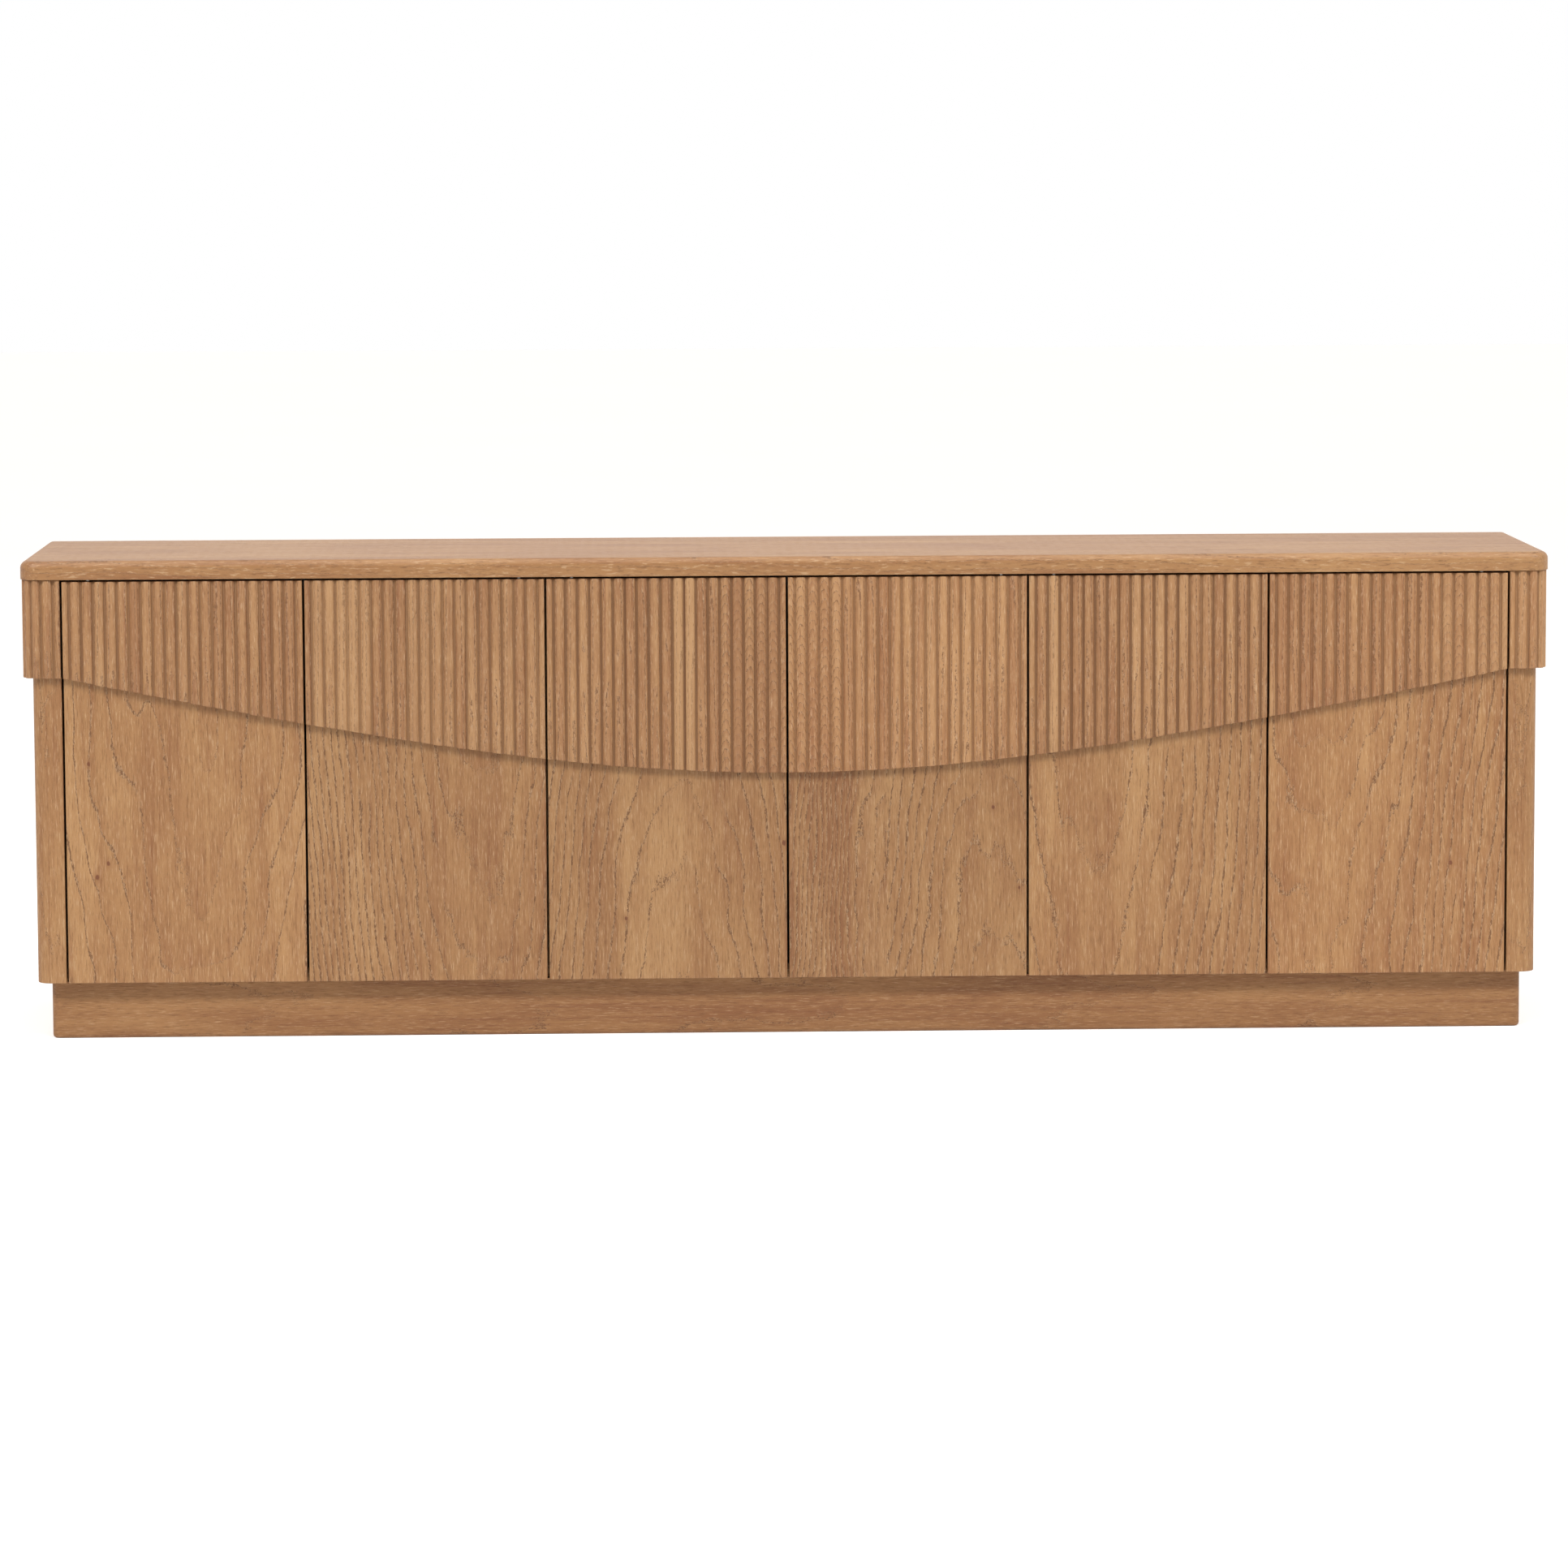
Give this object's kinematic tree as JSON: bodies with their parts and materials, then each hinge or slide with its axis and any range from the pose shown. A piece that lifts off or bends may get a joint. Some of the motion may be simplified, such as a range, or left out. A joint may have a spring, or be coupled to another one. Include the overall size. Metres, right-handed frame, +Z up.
{
  "type": "media cabinet",
  "caption": "Long low wooden media cabinet with hinged doors, a reeded apron with a wavy lower edge, and a set-back plinth.",
  "frame": {"origin": "middle of the footprint, on the floor", "axes": "+X to the right seen from the front, +Y from the front to the back, +Z up"},
  "size_m": [2.44, 0.49, 0.77],
  "materials": {
    "top_wood": "satin oak, brushed and lightly waxed",
    "door_wood": "matt oak, brushed, with pale filled grain",
    "reeded_wood": "matt oak, reeded",
    "inside_wood": "matt oak veneer",
    "plinth_wood": "matt oak",
    "steel": "zinc-plated",
    "nylon": "dark moulded nylon"
  },
  "bodies": {
    "root": {"bottom_panel": "inside_wood", "door_1_pivot_arm": "steel", "door_1_top_bush": "nylon", "door_2_pivot_arm": "steel", "door_2_top_bush": "nylon", "door_3_pivot_arm": "steel", "door_3_top_bush": "nylon", "door_4_pivot_arm": "steel", "door_4_top_bush": "nylon", "door_5_pivot_arm": "steel", "door_5_top_bush": "nylon", "door_6_pivot_arm": "steel", "door_6_top_bush": "nylon", "latch_1_housing": "nylon", "latch_2_housing": "nylon", "latch_3_housing": "nylon", "left_back_panel": "inside_wood", "left_corner_post": "door_wood", "left_partition": "inside_wood", "left_reeded_band": "reeded_wood", "left_shelf": "inside_wood", "left_side_panel": "door_wood", "middle_back_panel": "inside_wood", "middle_shelf": "inside_wood", "plinth_back": "plinth_wood", "plinth_front": "plinth_wood", "plinth_left_side": "plinth_wood", "plinth_right_side": "plinth_wood", "right_back_panel": "inside_wood", "right_corner_post": "door_wood", "right_partition": "inside_wood", "right_reeded_band": "reeded_wood", "right_shelf": "inside_wood", "right_side_panel": "door_wood", "top_panel": "top_wood"},
    "door_1": {"door_1_panel": "door_wood", "door_1_reeded_overlay": "reeded_wood", "door_1_top_pin": "steel"},
    "door_2": {"door_2_panel": "door_wood", "door_2_reeded_overlay": "reeded_wood", "door_2_top_pin": "steel"},
    "door_3": {"door_3_panel": "door_wood", "door_3_reeded_overlay": "reeded_wood", "door_3_top_pin": "steel"},
    "door_4": {"door_4_panel": "door_wood", "door_4_reeded_overlay": "reeded_wood", "door_4_top_pin": "steel"},
    "door_5": {"door_5_panel": "door_wood", "door_5_reeded_overlay": "reeded_wood", "door_5_top_pin": "steel"},
    "door_6": {"door_6_panel": "door_wood", "door_6_reeded_overlay": "reeded_wood", "door_6_top_pin": "steel"},
    "door_1_push_catch": {"door_1_plunger": "nylon"},
    "door_2_push_catch": {"door_2_plunger": "nylon"},
    "door_3_push_catch": {"door_3_plunger": "nylon"},
    "door_4_push_catch": {"door_4_plunger": "nylon"},
    "door_5_push_catch": {"door_5_plunger": "nylon"},
    "door_6_push_catch": {"door_6_plunger": "nylon"}
  },
  "joints": [
    {"name": "door_1_swing", "type": "hinge", "parent": "root", "child": "door_1", "pos_m": [-1.11218, -0.2255, 0.4], "axis": [0, 0, -1], "range_deg": [0, 90]},
    {"name": "door_2_swing", "type": "hinge", "parent": "root", "child": "door_2", "pos_m": [-0.42682, -0.2255, 0.4], "axis": [0, 0, 1], "range_deg": [0, 90]},
    {"name": "door_3_swing", "type": "hinge", "parent": "root", "child": "door_3", "pos_m": [-0.34268, -0.2255, 0.4], "axis": [0, 0, -1], "range_deg": [0, 90]},
    {"name": "door_4_swing", "type": "hinge", "parent": "root", "child": "door_4", "pos_m": [0.34268, -0.2255, 0.4], "axis": [0, 0, 1], "range_deg": [0, 90]},
    {"name": "door_5_swing", "type": "hinge", "parent": "root", "child": "door_5", "pos_m": [0.42682, -0.2255, 0.4], "axis": [0, 0, -1], "range_deg": [0, 90]},
    {"name": "door_6_swing", "type": "hinge", "parent": "root", "child": "door_6", "pos_m": [1.11218, -0.2255, 0.4], "axis": [0, 0, 1], "range_deg": [0, 90]},
    {"name": "door_1_catch_press", "type": "slide", "parent": "root", "child": "door_1_push_catch", "axis": [0, 1, 0], "range_m": [0, 0.003], "stiffness_N_per_m": 150},
    {"name": "door_2_catch_press", "type": "slide", "parent": "root", "child": "door_2_push_catch", "axis": [0, 1, 0], "range_m": [0, 0.003], "stiffness_N_per_m": 150},
    {"name": "door_3_catch_press", "type": "slide", "parent": "root", "child": "door_3_push_catch", "axis": [0, 1, 0], "range_m": [0, 0.003], "stiffness_N_per_m": 150},
    {"name": "door_4_catch_press", "type": "slide", "parent": "root", "child": "door_4_push_catch", "axis": [0, 1, 0], "range_m": [0, 0.003], "stiffness_N_per_m": 150},
    {"name": "door_5_catch_press", "type": "slide", "parent": "root", "child": "door_5_push_catch", "axis": [0, 1, 0], "range_m": [0, 0.003], "stiffness_N_per_m": 150},
    {"name": "door_6_catch_press", "type": "slide", "parent": "root", "child": "door_6_push_catch", "axis": [0, 1, 0], "range_m": [0, 0.003], "stiffness_N_per_m": 150}
  ]
}
